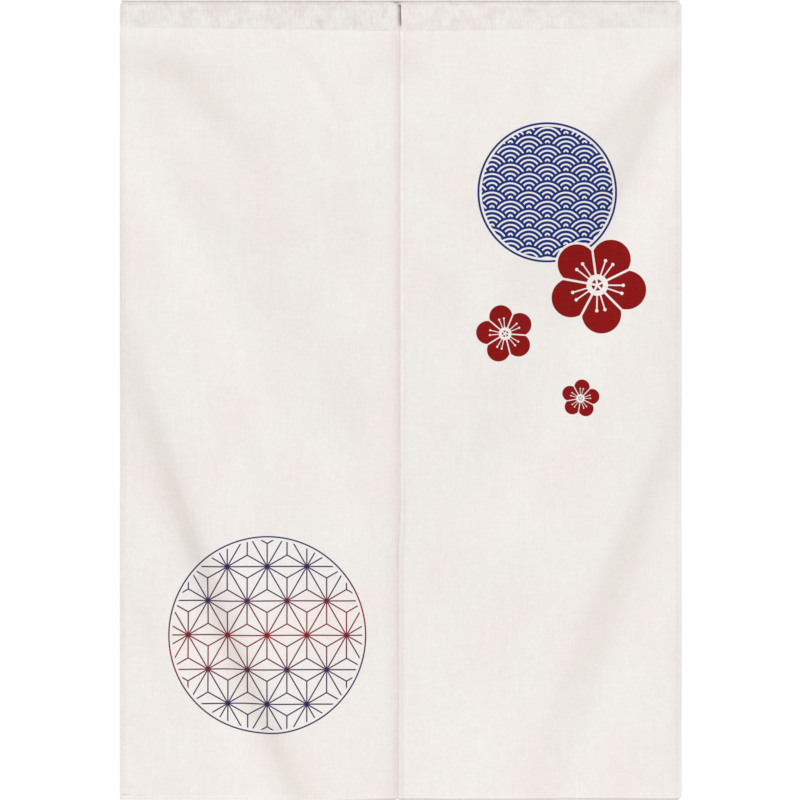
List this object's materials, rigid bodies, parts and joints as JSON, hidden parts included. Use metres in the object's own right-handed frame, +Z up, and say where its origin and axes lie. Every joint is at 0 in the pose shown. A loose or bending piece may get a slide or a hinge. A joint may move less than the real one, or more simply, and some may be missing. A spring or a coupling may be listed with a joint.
{
  "type": "noren curtain",
  "caption": "Split doorway curtain: hanging off-white cloth panels side by side, joined at the top by a sewn pole pocket, with a slit between them down to the hem.",
  "frame": {"origin": "middle of the top edge of the heading, where the curtain is held up", "axes": "+X to the viewer's right along the heading, +Y from the printed front to the back, +Z up along the drop"},
  "size_m": [0.8503, 0.0289, 1.2166],
  "materials": {
    "panel_cloth": "matt plain weave, off-white, with a printed blue and red design",
    "facing_cloth": "matt plain weave, off-white, unprinted"
  },
  "bodies": {
    "root": {"panel_left": "panel_cloth", "panel_right": "panel_cloth", "heading_facing": "facing_cloth"}
  },
  "joints": []
}
